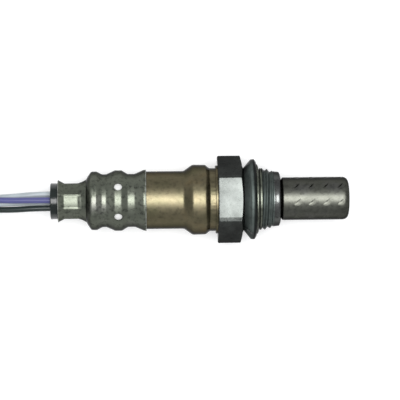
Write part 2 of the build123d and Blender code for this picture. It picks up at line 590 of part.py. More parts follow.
tie_bow = coil_inner - (coil_inner ** 2 - (TIE_WIDTH / 2) ** 2) ** 0.5
tie_gap_width = 2 * SLEEVE_RADIUS + 2 * tie_bow + 2 * LOOSE
tie_height = coil_height + TIE_THICKNESS + 2 * LOOSE
with BuildPart() as coil_tie:
    with BuildSketch(Plane.YZ.offset(COIL_NORTH_X - TIE_WIDTH / 2)):
        with Locations((coil_south_y, FLOOR_Z + tie_height / 2)):
            RectangleRounded(tie_gap_width + 2 * TIE_THICKNESS, tie_height, TIE_THICKNESS)
            Rectangle(tie_gap_width, tie_height - 2 * TIE_THICKNESS, mode=Mode.SUBTRACT)
    extrude(amount=TIE_WIDTH)
keep(coil_tie.part, "coil_tie")


def turn_corner(radius, step, angle, rise):
    """A corner of a route round the coil's north-south line, at an angle counted from +Y towards -X."""
    corner_radius = radius / cos(radians(step / 2))
    centre_y = COIL_NORTH_Y - radius
    return (COIL_NORTH_X - corner_radius * sin(radians(angle)), centre_y + corner_radius * cos(radians(angle)),
            layer_z + rise)


# Cable sleeve: from its mouth over the leads down to the coil, and over it to the connector
connector_x = COIL_NORTH_X - PLUG_BEND_RADIUS
connector_z = FLOOR_Z + coil_height + LOOSE + CONNECTOR_HEIGHT / 2
layer_z = sleeve_floor_z + COIL_PITCH
sleeve_in = [(-87.0, 0.0, -5.0), (-92.6, 0.1, -7.1), (-98.0, 1.7, -8.6), (-103.5, 5.2, sleeve_floor_z + SLIP),
             (-110.0, 8.0, sleeve_floor_z + SLIP)]
sleeve_out = [turn_corner(COIL_TURN_RADIUS, COIL_EXIT_STEP, COIL_EXIT_START + step * COIL_EXIT_STEP, rise)
              for step, rise in enumerate(COIL_EXIT_RISES)]
sleeve_out += [turn_corner(PLUG_BEND_RADIUS, PLUG_BEND_STEP, (step + 0.5) * PLUG_BEND_STEP, rise)
               for step, rise in enumerate(PLUG_BEND_RISES)]
sleeve_out += [(connector_x, CONNECTOR_Y + LOOSE, connector_z)]
for name, route in [("cable_sleeve_in", sleeve_in), ("cable_sleeve_out", sleeve_out)]:
    with BuildPart() as sleeve:
        add(cord_tube(name, route, SLEEVE_RADIUS))
        add(cable_coil.part, mode=Mode.SUBTRACT)
    keep(sleeve.part, name)

# Connector: seal, shell with a socket, four blades and a lock plate
shell_y = CONNECTOR_Y - SEAL_LENGTH
connector_plane = Plane(origin=(connector_x, CONNECTOR_Y, connector_z), x_dir=(1, 0, 0), z_dir=(0, -1, 0))
shell_plane = connector_plane.offset(SEAL_LENGTH)
socket_plane = shell_plane.offset(CONNECTOR_LENGTH - SOCKET_DEPTH)
socket_width = CONNECTOR_WIDTH - 2 * CONNECTOR_WALL
socket_height = CONNECTOR_HEIGHT - 2 * CONNECTOR_WALL
shell_top_z = connector_z + CONNECTOR_HEIGHT / 2
mouth_y = shell_y - CONNECTOR_LENGTH
grip_middle_y = shell_y - (CONNECTOR_LENGTH - SOCKET_DEPTH) / 2
pin_places = [(x * PIN_SPACING_X / 2, y * PIN_SPACING_Z / 2) for x in (-1, 1) for y in (-1, 1)]

with BuildPart() as cable_seal:
    with BuildSketch(connector_plane):
        Circle(SLEEVE_RADIUS + CONNECTOR_WALL)
    with BuildSketch(shell_plane):
        Circle(SLEEVE_RADIUS + 2 * CONNECTOR_WALL)
    loft()
keep(cable_seal.part, "cable_seal")

with BuildPart() as connector_shell:
    with BuildSketch(shell_plane):
        RectangleRounded(CONNECTOR_WIDTH, CONNECTOR_HEIGHT, CONNECTOR_EDGE)
    extrude(amount=CONNECTOR_LENGTH)
    with BuildSketch(socket_plane.offset(-LOCK_THICKNESS)):
        RectangleRounded(socket_width - 2 * CONNECTOR_WALL, socket_height - 2 * CONNECTOR_WALL, SOCKET_EDGE)
    extrude(amount=LOCK_THICKNESS + CUT, mode=Mode.SUBTRACT)
    with BuildSketch(shell_plane):
        with Locations(*pin_places):
            Rectangle(PIN_WIDTH + 2 * SLIP, PIN_THICKNESS + 2 * SLIP)
    extrude(amount=CONNECTOR_LENGTH, mode=Mode.SUBTRACT)
    with BuildSketch(socket_plane):
        with Locations((0, CONNECTOR_HEIGHT / 2)):
            with GridLocations(KEY_SPACING, 0, 2, 1):
                Rectangle(KEY_WIDTH, 2 * KEY_HEIGHT)
    extrude(amount=SOCKET_DEPTH)
    with BuildSketch(Plane.YZ.offset(connector_x - LATCH_WIDTH / 2)):
        with BuildLine():
            Polyline((mouth_y + LATCH_START, shell_top_z - CUT),
                     (mouth_y + LATCH_START, shell_top_z),
                     (mouth_y + LATCH_CREST, shell_top_z + LATCH_HEIGHT),
                     (mouth_y + LATCH_END, shell_top_z + LATCH_HEIGHT),
                     (mouth_y + LATCH_END, shell_top_z - CUT), close=True)
        make_face()
    extrude(amount=LATCH_WIDTH)
    with BuildSketch(Plane.XY.offset(shell_top_z - CUT)):
        with Locations((connector_x, grip_middle_y)):
            with GridLocations(0, GRIP_RIB_PITCH, 1, GRIP_RIBS):
                Rectangle(GRIP_RIB_WIDTH, GRIP_RIB_LENGTH)
    extrude(amount=GRIP_RIB_HEIGHT + CUT)
    with BuildSketch(socket_plane):
        RectangleRounded(socket_width, socket_height, SOCKET_EDGE)
    extrude(amount=SOCKET_DEPTH + CUT, mode=Mode.SUBTRACT)
keep(connector_shell.part, "connector_shell")

with BuildPart() as lock_plate:
    with BuildSketch(socket_plane.offset(-LOCK_THICKNESS)):
        RectangleRounded(socket_width - 2 * CONNECTOR_WALL - 2 * SLIP,
                         socket_height - 2 * CONNECTOR_WALL - 2 * SLIP,
                         SOCKET_EDGE)
        with Locations(*pin_places):
            Rectangle(PIN_WIDTH + 2 * SLIP, PIN_THICKNESS + 2 * SLIP, mode=Mode.SUBTRACT)
    extrude(amount=LOCK_THICKNESS)
keep(lock_plate.part, "lock_plate")

with BuildPart() as connector_pins:
    with BuildSketch(socket_plane.offset(SOCKET_DEPTH - 2 * CONNECTOR_WALL - PIN_LENGTH)):
        with Locations(*pin_places):
            Rectangle(PIN_WIDTH, PIN_THICKNESS)
    extrude(amount=PIN_LENGTH)
keep(connector_pins.part, "connector_pins")
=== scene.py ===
"""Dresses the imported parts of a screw-in oxygen sensor: metal, leads, cable and a plain stage."""

from math import atan2, cos, hypot, pi, radians, sin, tan, tau

import bpy
from mathutils import Matrix, Vector


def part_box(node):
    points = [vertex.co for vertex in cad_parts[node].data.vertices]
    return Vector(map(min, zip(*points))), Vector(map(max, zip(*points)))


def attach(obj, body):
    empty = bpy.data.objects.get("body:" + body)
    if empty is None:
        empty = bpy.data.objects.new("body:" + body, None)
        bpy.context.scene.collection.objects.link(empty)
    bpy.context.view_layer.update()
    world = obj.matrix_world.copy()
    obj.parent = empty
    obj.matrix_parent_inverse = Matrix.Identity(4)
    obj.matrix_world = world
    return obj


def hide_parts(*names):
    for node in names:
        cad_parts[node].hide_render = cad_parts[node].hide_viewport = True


bl_info = {
    "name": "Oxygen sensor dressing",
    "version": (1, 0, 0),
    "blender": (4, 5, 0),
    "location": "3D View > Sidebar > Sensor",
    "description": "Models the visible pieces of a screw-in oxygen sensor over its packed parts",
    "category": "Mesh",
}

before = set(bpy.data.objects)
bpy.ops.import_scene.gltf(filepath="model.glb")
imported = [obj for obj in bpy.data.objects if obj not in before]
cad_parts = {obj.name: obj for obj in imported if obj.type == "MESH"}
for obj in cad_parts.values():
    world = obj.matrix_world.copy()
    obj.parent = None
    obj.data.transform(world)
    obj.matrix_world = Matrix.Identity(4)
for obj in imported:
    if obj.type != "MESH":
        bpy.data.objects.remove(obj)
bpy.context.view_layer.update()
MM = 0.001
SMOOTH_ANGLE = radians(32)


def node_radius(name):
    """The radius of a round part that lies on the sensor's axis."""
    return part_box(name)[1][1]


def node_span(name):
    """Where a part starts and ends along the axis."""
    low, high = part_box(name)
    return low[0], high[0]


TUBE_RADIUS = 6.2 * MM
GASKET_RADIUS = node_radius("gasket")
GROMMET_FACE = node_span("grommet")[0]
FLOOR_Z = -GASKET_RADIUS


# Sizes and colours that a user would change


def length_property(name, description, default):
    return bpy.props.FloatProperty(name=name, description=description, default=default, min=0.0,
                                   precision=5, unit="LENGTH", subtype="DISTANCE")


def colour_property(name, description, default):
    return bpy.props.FloatVectorProperty(name=name, description=description, default=default, size=3,
                                         min=0.0, max=1.0, subtype="COLOR")


class SensorSizes(bpy.types.PropertyGroup):
    """Sizes of the sensor's visible pieces."""

    hexagon_flats: length_property("Hexagon", "Width across the flats of the hexagon", 22.0 * MM)
    thread_pitch: length_property("Thread pitch", "Distance from crest to crest", 1.5 * MM)
    thread_depth: length_property("Thread depth", "How deep the thread is cut", 0.55 * MM)
    vent_wall: length_property("Vent cover sheet", "Thickness of the vent cover's sheet", 0.35 * MM)
    vent_hole: length_property("Vent hole radius", "Radius of the six round vents", 1.15 * MM)
    louvre_radius: length_property("Louvre radius", "Radius of a louvre's round edge", 1.3 * MM)
    louvre_depth: length_property("Louvre depth", "How far each louvre is pressed in at its slit", 0.11 * MM)
    crimp_flats: bpy.props.IntProperty(
        name="Crimp flats", description="Flats pressed round the grommet", default=8, min=3, max=24)
    round_steps: bpy.props.IntProperty(
        name="Round steps", description="Faces round each turned piece", default=160, min=24, max=320)


class CableSizes(bpy.types.PropertyGroup):
    """Sizes of the leads and of the sleeved cable."""

    lead_diameter: length_property("Lead diameter", "Diameter of each of the four leads", 1.75 * MM)
    sleeve_diameter: length_property("Sleeve diameter", "Outer diameter of the cable sleeve", 5.2 * MM)
    coil_radius: length_property("Coil radius", "Radius of the coil at the middle of its turns", 26.0 * MM)
    coil_turns: bpy.props.IntProperty(
        name="Coil turns", description="Turns in the tied coil", default=2, min=1, max=8)


class SensorColours(bpy.types.PropertyGroup):
    """Colours of the sensor's finishes."""

    vent_steel: colour_property("Vent cover steel", "Green-grey heat-dulled steel", (0.90, 0.97, 0.79))
    bronze: colour_property("Rear cover", "Gold heat tint on drawn steel", (0.90, 0.79, 0.50))
    black_steel: colour_property("Hexagon", "Dark finish of the hexagon", (0.56, 0.60, 0.57))
    thread_steel: colour_property("Thread", "Blue-grey finish of thread and gasket", (0.44, 0.52, 0.49))
    tube_steel: colour_property("Protection tube", "Warm grey heat-tinted tube", (0.90, 0.92, 0.79))
    bare_edge: colour_property("Sheared edges", "Ends of the vent cover's sheet", (0.30, 0.31, 0.28))
    blue_lead: colour_property("Blue lead", "Jacket of the ground lead", (0.080, 0.085, 0.24))
    grey_lead: colour_property("Grey leads", "Jackets of the heater leads", (0.42, 0.47, 0.49))
    black_lead: colour_property("Black lead", "Jacket of the signal lead", (0.012, 0.022, 0.020))


# Node helpers for the materials


def new_material(name, colour, roughness, metallic=0.0):
    """A material with its principled shader set to one plain finish."""
    material = bpy.data.materials.new(name)
    material.use_nodes = True
    shader = material.node_tree.nodes["Principled BSDF"]
    shader.inputs["Base Color"].default_value = (*colour, 1.0)
    shader.inputs["Roughness"].default_value = roughness
    shader.inputs["Metallic"].default_value = metallic
    return material, material.node_tree, shader


def object_pattern(tree, scale):
    """Object coordinates scaled along each axis, in repeats of a pattern per metre."""
    coordinates = tree.nodes.new("ShaderNodeTexCoord")
    mapping = tree.nodes.new("ShaderNodeMapping")
    mapping.inputs["Scale"].default_value = scale
    tree.links.new(coordinates.outputs["Object"], mapping.inputs["Vector"])
    return mapping.outputs["Vector"]


def noise(tree, scale, detail, roughness=0.55):
    """A cloudy pattern from 0 to 1, with this many repeats per metre along each axis."""
    texture = tree.nodes.new("ShaderNodeTexNoise")
    texture.inputs["Scale"].default_value = 1.0
    texture.inputs["Detail"].default_value = detail
    texture.inputs["Roughness"].default_value = roughness
    tree.links.new(object_pattern(tree, scale), texture.inputs["Vector"])
    return texture.outputs["Fac"]


def ramp(tree, value, stops):
    """Colours along a value, as (place, colour) stops."""
    band = tree.nodes.new("ShaderNodeValToRGB")
    for element, (place, colour) in zip(band.color_ramp.elements, (stops[0], stops[-1])):
        element.position = place
        element.color = (*colour, 1.0)
    for place, colour in stops[1:-1]:
        element = band.color_ramp.elements.new(place)
        element.color = (*colour, 1.0)
    tree.links.new(value, band.inputs["Fac"])
    return band.outputs["Color"]


def grey(value):
    return (value, value, value)


def spread(tree, value, low, high):
    """Moves a noise pattern, which lies mostly from 0.3 to 0.7, into another range."""
    reach = tree.nodes.new("ShaderNodeMapRange")
    reach.inputs["From Min"].default_value = 0.3
    reach.inputs["From Max"].default_value = 0.7
    reach.inputs["To Min"].default_value = low
    reach.inputs["To Max"].default_value = high
    tree.links.new(value, reach.inputs["Value"])
    return reach.outputs["Result"]


def multiplied(tree, first, second):
    """One colour times another."""
    mix = tree.nodes.new("ShaderNodeMix")
    mix.data_type = "RGBA"
    mix.blend_type = "MULTIPLY"
    factor, slot_a, slot_b = mix.inputs[0], mix.inputs[6], mix.inputs[7]
    factor.default_value = 1.0
    tree.links.new(first, slot_a)
    tree.links.new(second, slot_b)
    return mix.outputs[2]


def bump(tree, height, depth, strength=1.0, under=None):
    """Raises the surface by a pattern, up to a depth in metres, over another bump if there is one."""
    raised = tree.nodes.new("ShaderNodeBump")
    raised.inputs["Strength"].default_value = strength
    raised.inputs["Distance"].default_value = depth
    tree.links.new(height, raised.inputs["Height"])
    if under is not None:
        tree.links.new(under, raised.inputs["Normal"])
    return raised.outputs["Normal"]


def connect(tree, shader, **sockets):
    """Links these to the shader's inputs: base_color, roughness and normal."""
    for name, socket in sockets.items():
        tree.links.new(socket, shader.inputs[name.replace("_", " ").title()])


def scaled(colour, factor):
    return tuple(min(1.0, part * factor) for part in colour)


# Finishes


def oxide_film(shader, film):
    """A thin dark film over the metal, which swallows more light the flatter it is looked at."""
    shader.inputs["Specular Tint"].default_value = (0.0, 0.0, 0.0, 1.0)
    shader.inputs["Coat Weight"].default_value = 1.0
    shader.inputs["Coat IOR"].default_value = 1.05
    shader.inputs["Coat Tint"].default_value = (*grey(film), 1.0)


def worn_metal(name, colour, light, dark, roughness, line_scale, line_depth, film, speck=0.55, metallic=1.0):
    """Oxidised metal with clouds of tint, dark specks, fine lines round the axis and uneven gloss."""
    material, tree, shader = new_material(name, colour, roughness, metallic)
    oxide_film(shader, film)
    clouds = noise(tree, (130, 160, 160), detail=5)
    specks = noise(tree, (900, 900, 900), detail=3, roughness=0.7)
    tint = ramp(tree, clouds, [(0.3, dark), (0.55, colour), (0.75, light)])
    speckled = ramp(tree, specks, [(0.34, grey(speck)), (0.5, grey(1.0))])
    lines = noise(tree, (line_scale, 18, 18), detail=3)
    coarse = bump(tree, lines, line_depth, 0.8)
    connect(tree, shader, base_color=multiplied(tree, tint, speckled),
            roughness=spread(tree, specks, roughness - 0.07, roughness + 0.1),
            normal=bump(tree, specks, line_depth * 0.6, 0.5, coarse))
    return material


def vent_steel(colours):
    colour = tuple(colours.vent_steel)
    return worn_metal("Green-grey drawn steel", colour, light=scaled(colour, 1.15), dark=scaled(colour, 0.78),
                      roughness=0.42, line_scale=2600, line_depth=0.008 * MM, film=0.26)


def bronze_steel(colours):
    colour = tuple(colours.bronze)
    return worn_metal("Gold heat-tinted steel", colour, light=(1.0, 0.80, 0.45), dark=(0.68, 0.64, 0.38),
                      roughness=0.41, line_scale=2200, line_depth=0.008 * MM, film=0.26, speck=0.8)


def black_steel(colours):
    """Dark oxide with a pale film of fine specks and scratches."""
    colour = tuple(colours.black_steel)
    material, tree, shader = new_material("Dark oxide steel", colour, 0.30, 1.0)
    oxide_film(shader, 0.18)
    specks = noise(tree, (1500, 1500, 1500), detail=4, roughness=0.75)
    clouds = noise(tree, (320, 320, 320), detail=4)
    tint = ramp(tree, clouds, [(0.35, scaled(colour, 0.8)), (0.65, scaled(colour, 1.15))])
    speckled = ramp(tree, specks, [(0.36, grey(0.72)), (0.5, grey(1.0))])
    scratches = noise(tree, (120, 2600, 2600), detail=3)
    fine = bump(tree, scratches, 0.008 * MM, 0.5)
    connect(tree, shader, base_color=multiplied(tree, tint, speckled),
            roughness=spread(tree, specks, 0.24, 0.36), normal=bump(tree, specks, 0.010 * MM, 0.6, fine))
    return material


def thread_steel(colours):
    colour = tuple(colours.thread_steel)
    return worn_metal("Blue-grey oiled steel", colour, light=scaled(colour, 1.3), dark=scaled(colour, 0.7),
                      roughness=0.52, line_scale=1700, line_depth=0.012 * MM, film=0.35, speck=0.75,
                      metallic=0.8)


def gasket_steel(colours):
    """Dull oiled steel, with painted shade that darkens it from the crest to the side that faces the port."""
    colour = scaled(tuple(colours.thread_steel), 1.8)
    material = worn_metal("Dull oiled gasket steel", colour, light=scaled(colour, 1.2),
                          dark=scaled(colour, 0.75), roughness=0.5, line_scale=1700,
                          line_depth=0.012 * MM, film=0.31, speck=0.75, metallic=0.55)
    tree = material.node_tree
    plain = tree.nodes["Principled BSDF"].inputs["Base Color"]
    along = tree.nodes.new("ShaderNodeSeparateXYZ")
    centimetres = object_pattern(tree, (100, 100, 100))
    tree.links.new(centimetres, along.inputs["Vector"])
    # Painted shade: the base colour darkens along the axis from the crest towards the port side, where the
    # far flank of the fold lies in shade.
    painted_shade = ramp(tree, along.outputs["X"],
                [(0.17, grey(1.0)), (0.21, grey(0.6)), (0.25, grey(0.6)), (0.285, grey(0.12))])
    tree.links.new(multiplied(tree, plain.links[0].from_socket, painted_shade), plain)
    return material


def tube_steel(colours):
    colour = tuple(colours.tube_steel)
    return worn_metal("Warm grey tube steel", colour, light=scaled(colour, 1.2), dark=scaled(colour, 0.8),
                      roughness=0.40, line_scale=900, line_depth=0.006 * MM, film=0.175, speck=0.75)


def nose_steel():
    return worn_metal("Burnished nose steel", (0.92, 0.97, 0.93), light=grey(1.0), dark=grey(0.7),
                      roughness=0.25, line_scale=1700, line_depth=0.004 * MM, film=0.2, speck=0.8)


def bare_edge(colours):
    """A sheared edge with a fine grain."""
    colour = tuple(colours.bare_edge)
    material, tree, shader = new_material("Sheared steel edge", colour, 0.6, 0.4)
    grain = noise(tree, (900, 900, 900), detail=3)
    tint = ramp(tree, grain, [(0.35, scaled(colour, 0.45)), (0.6, colour)])
    connect(tree, shader, base_color=tint, normal=bump(tree, grain, 0.02 * MM, 0.5))
    return material


def rubber(name, colour, roughness):
    """Matt black rubber with a fine dusty grain."""
    material, tree, shader = new_material(name, colour, roughness)
    grain = noise(tree, (1800, 1800, 1800), detail=4, roughness=0.7)
    dust = noise(tree, (260, 260, 260), detail=4)
    tint = ramp(tree, dust, [(0.35, scaled(colour, 0.7)), (0.7, scaled(colour, 1.7))])
    connect(tree, shader, base_color=tint, normal=bump(tree, grain, 0.02 * MM, 0.6),
            roughness=spread(tree, grain, roughness - 0.06, roughness + 0.08))
    return material


def lead_jacket(name, colour):
    """A smooth drawn plastic jacket with faint streaks along it."""
    material, tree, shader = new_material(name, colour, 0.38)
    streaks = noise(tree, (90, 1500, 1500), detail=3)
    clouds = noise(tree, (260, 260, 260), detail=3)
    tint = ramp(tree, streaks, [(0.3, scaled(colour, 0.82)), (0.7, scaled(colour, 1.18))])
    connect(tree, shader, base_color=tint, roughness=spread(tree, clouds, 0.32, 0.46),
            normal=bump(tree, streaks, 0.01 * MM, 0.5))
    return material


def moulded_plastic(name, colour, roughness):
    """Moulded plastic with a fine spark-eroded grain."""
    material, tree, shader = new_material(name, colour, roughness)
    grain = noise(tree, (2600, 2600, 2600), detail=3)
    clouds = noise(tree, (120, 120, 120), detail=3)
    tint = ramp(tree, clouds, [(0.3, scaled(colour, 0.85)), (0.7, scaled(colour, 1.2))])
    connect(tree, shader, base_color=tint, normal=bump(tree, grain, 0.012 * MM, 0.5),
            roughness=spread(tree, grain, roughness - 0.05, roughness + 0.08))
    return material


def ceramic(name, colour, roughness):
    """Fired ceramic with a slight mottle."""
    material, tree, shader = new_material(name, colour, roughness)
    mottle = noise(tree, (500, 500, 500), detail=4)
    tint = ramp(tree, mottle, [(0.3, scaled(colour, 0.88)), (0.7, colour)])
    connect(tree, shader, base_color=tint, normal=bump(tree, mottle, 0.01 * MM, 0.5))
    return material


def plated_metal(name, colour, roughness):
    """Bright stamped metal with fine roll lines."""
    material, tree, shader = new_material(name, colour, roughness, 1.0)
    lines = noise(tree, (200, 3000, 3000), detail=2)
    tint = ramp(tree, lines, [(0.3, scaled(colour, 0.8)), (0.7, scaled(colour, 1.1))])
    connect(tree, shader, base_color=tint, normal=bump(tree, lines, 0.006 * MM, 0.5))
    return material


# Modelling helpers


def clear_selection():
    """Leaves edit mode with nothing selected."""
    if bpy.context.mode != "OBJECT":
        bpy.ops.object.mode_set(mode="OBJECT")
    bpy.ops.object.select_all(action="DESELECT")


def choose(*pieces):
    """Selects these pieces, with the first one active."""
    clear_selection()
    for piece in pieces:
        piece.select_set(True)
    bpy.context.view_layer.objects.active = pieces[0]


def rounded(corners, steps=6):
    """The outline through (x, radius, rounding) corners, each rounded by an arc that touches its sides."""
    outline = []
    last = len(corners) - 1
    for index, (x, radius, rounding) in enumerate(corners):
        here = Vector((x, radius))
        if rounding == 0 or index in (0, last):
            outline.append(here)
            continue
        back = Vector(corners[index - 1][:2]) - here
        ahead = Vector(corners[index + 1][:2]) - here
        half_corner = back.angle(ahead) / 2
        reach = min(rounding / tan(half_corner), 0.49 * back.length, 0.49 * ahead.length)
        start = here + back.normalized() * reach
        end = here + ahead.normalized() * reach
        for step in range(steps + 1):
            share = step / steps
            outline.append(start * (1 - share) ** 2 + here * 2 * share * (1 - share) + end * share ** 2)
    return outline


def close_mesh():
    """Merges the doubled vertices of the mesh in edit mode, makes its normals agree and leaves edit mode."""
    bpy.ops.mesh.select_all(action="SELECT")
    bpy.ops.mesh.remove_doubles(threshold=1e-6)
    bpy.ops.mesh.normals_make_consistent(inside=False)
    bpy.ops.object.mode_set(mode="OBJECT")


def turn_inside_out():
    """Flips the active mesh's normals."""
    bpy.ops.object.mode_set(mode="EDIT")
    bpy.ops.mesh.flip_normals()
    bpy.ops.object.mode_set(mode="OBJECT")


def turned(name, outline, steps):
    """Spins an outline of (x, radius) points, in millimetres, round the sensor's axis."""
    clear_selection()
    bpy.ops.mesh.primitive_plane_add(size=MM, location=(0, 0, 0))
    piece = bpy.context.object
    piece.name = name
    bpy.ops.object.mode_set(mode="EDIT")
    bpy.ops.mesh.select_all(action="SELECT")
    bpy.ops.mesh.merge(type="CENTER")
    points = [Vector((x, radius, 0)) * MM for x, radius in outline]
    bpy.ops.transform.translate(value=points[0])
    for before, after in zip(points, points[1:]):
        bpy.ops.mesh.extrude_region_move(TRANSFORM_OT_translate={"value": after - before})
    bpy.ops.mesh.select_all(action="SELECT")
    bpy.ops.mesh.spin(steps=steps, angle=tau, center=(0, 0, 0), axis=(1, 0, 0))
    close_mesh()
    lean = sum(face.area * (face.normal.y * face.center.y + face.normal.z * face.center.z)
               for face in piece.data.polygons)
    if lean < 0:
        turn_inside_out()
    return piece


def subdivided(start, end, step):
    """Evenly spaced places from start to end."""
    count = max(1, round(abs(end - start) / step))
    return [start + (end - start) * index / count for index in range(count + 1)]


def reshape(piece, rule):
    """Moves each vertex to the x and radius, in millimetres, that rule(x, angle, radius) gives."""
    for vertex in piece.data.vertices:
        x, y, z = vertex.co / MM
        radius = hypot(y, z)
        if radius < 1e-6:
            continue
        angle = atan2(y, z)
        new_x, new_radius = rule(x, angle, radius)
        vertex.co = Vector((new_x, new_radius * sin(angle), new_radius * cos(angle))) * MM


def apply_modifier(piece, kind, **settings):
    """Adds a modifier with these settings and applies it."""
    choose(piece)
    modifier = piece.modifiers.new(kind.title(), kind)
    for setting, value in settings.items():
        setattr(modifier, setting, value)
    bpy.ops.object.modifier_apply(modifier=modifier.name)


def wall(piece, thickness):
    """Gives an open shell its sheet thickness, inwards."""
    apply_modifier(piece, "SOLIDIFY", thickness=thickness, offset=-1.0, use_even_offset=True)


def cut(piece, cutter, operation="DIFFERENCE"):
    """Cuts one piece with another, which is used up."""
    apply_modifier(piece, "BOOLEAN", object=cutter, operation=operation, solver="EXACT")
    bpy.data.objects.remove(cutter)


def join(pieces):
    """Joins pieces into the first of them."""
    choose(*pieces)
    bpy.ops.object.join()
    return pieces[0]


def outwards(angle):
    """The direction at an angle round the axis, from +Z towards +Y."""
    return Vector((0, sin(angle), cos(angle)))


def smooth(piece, angle=SMOOTH_ANGLE):
    """Shades a piece smooth, apart from edges sharper than the angle."""
    choose(piece)
    bpy.ops.object.shade_smooth_by_angle(angle=angle)


def hand_over(piece, material, *nodes):
    """Gives a finished piece its material and puts it in the place of these parts."""
    piece.data.materials.clear()
    piece.data.materials.append(material)
    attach(piece, "root")
    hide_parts(*nodes)


def plain_turned(name, corners, steps, material, node, arc_steps=6):
    """A plain turned piece, finished and put in the place of a part."""
    piece = turned(name, rounded(corners, arc_steps), steps)
    smooth(piece)
    hand_over(piece, material, node)


def pins(places, radius, vertices):
    """One piece of pins at these places, to cut round holes with."""
    made = []
    for place in places:
        clear_selection()
        bpy.ops.mesh.primitive_cylinder_add(vertices=vertices, radius=radius, depth=6 * MM)
        pin = bpy.context.object
        pin.data.transform(place)
        made.append(pin)
    return join(made)


def dress(node, material):
    """Gives a part that stays as packed its material."""
    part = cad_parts[node]
    part.data.materials.clear()
    part.data.materials.append(material)


def ripple(angle, seed, waves=5):
    """A smooth uneven swing round the axis, from about -1 to 1, the same on each run."""
    total = sum(sin(angle * wave + seed * wave * 1.7) / wave for wave in range(1, waves + 1))
    return total / 1.6


# Outlines of the turned and drawn pieces, as (x, radius, rounding) in millimetres

VENT_OUTLINE = [
    (-28.15, 8.83, 0), (-28.75, 8.80, 0.3), (-31.3, 7.69, 1.6), (-33.3, 7.69, 1.3), (-35.1, 8.78, 1.3),
    (-37.0, 8.78, 1.3), (-39.5, 7.66, 1.2), (-40.7, 7.66, 1.2), (-42.3, 8.49, 0.9), (-43.9, 8.49, 1.0),
    (-44.9, 7.0, 0.5), (-45.3, 6.2, 0.6), (-46.6, 5.5, 0.8), (-47.6, 5.3, 0.3), (-51.6, 5.3, 0.6),
    (-53.35, 6.12, 0),
]
CRIMP_START = -48.1
CRIMP_END = -51.2
CRIMP_RADIUS = 5.3
FRONT_EDGE_OUTLINE = [
    (-28.2, 8.5, 0), (-28.2, 8.86, 0.06), (-27.98, 8.86, 0.06), (-27.98, 8.5, 0), (-28.2, 8.5, 0),
]
REAR_EDGE_OUTLINE = [
    (-53.42, 5.8, 0), (-53.45, 6.12, 0.06), (-53.25, 6.14, 0.06), (-53.2, 5.8, 0), (-53.42, 5.8, 0),
]
COVER_OUTLINE = [
    (-8.05, 9.1, 0), (-9.7, 9.1, 0.7), (-10.9, 10.08, 0.8), (-14.7, 10.16, 1.6), (-17.2, 8.36, 1.4),
    (-28.2, 8.36, 0.6), (-29.6, 6.7, 0.6), (-42.0, 6.7, 0),
]
GASKET_OUTLINE = [
    (0.08, 8.65, 0), (0.08, 9.0, 0.2), (1.15, 10.35, 0.6), (2.1, 11.5, 0.5), (3.15, 11.68, 0.5),
    (3.7, 10.9, 0.3), (3.8, 10.0, 0), (3.8, 8.65, 0), (0.08, 8.65, 0),
]
GASKET_LIP_OUTLINE = [
    (3.7, 8.9, 0), (3.7, 10.1, 0), (4.05, 10.12, 0.12), (4.3, 9.75, 0.1), (4.35, 8.9, 0), (3.7, 8.9, 0),
]
GROMMET_OUTLINE = [
    (-55.6, 0, 0), (-55.6, 5.25, 0.3), (-53.5, 5.2, 0.2), (-53.45, 4.8, 0.1), (-50.0, 4.8, 0), (-50.0, 0, 0),
]
COLLAR_OUTLINE = [
    (-8.05, 8.0, 0), (-8.05, 9.85, 0.15), (-7.2, 9.85, 0.1), (-7.2, 9.0, 0), (-0.3, 9.0, 0), (-0.3, 8.1, 0),
]
RELIEF_OUTLINE = [
    (4.2, 7.4, 0), (4.2, 8.5, 0), (4.6, 8.6, 0.1), (4.7, 8.95, 0.1), (5.2, 8.95, 0.12), (5.3, 8.5, 0),
    (5.3, 7.4, 0), (4.2, 7.4, 0),
]
NOSE_OUTLINE = [
    (8.7, 7.0, 0), (8.7, 8.0, 0), (9.05, 7.98, 0), (9.12, 7.95, 0), (9.25, 7.935, 0), (9.4, 7.925, 0),
    (9.9, 7.885, 0), (10.1, 7.865, 0), (10.35, 7.78, 0.2), (10.7, 7.0, 0.4), (10.7, 5.4, 0), (8.7, 5.4, 0),
    (8.7, 7.0, 0),
]
TUBE_OUTLINE = [(9.2, 5.35, 0), (10.85, 5.35, 0.3), (11.35, 6.2, 0.5), (30.4, 6.2, 1.9), (30.8, 0, 0)]


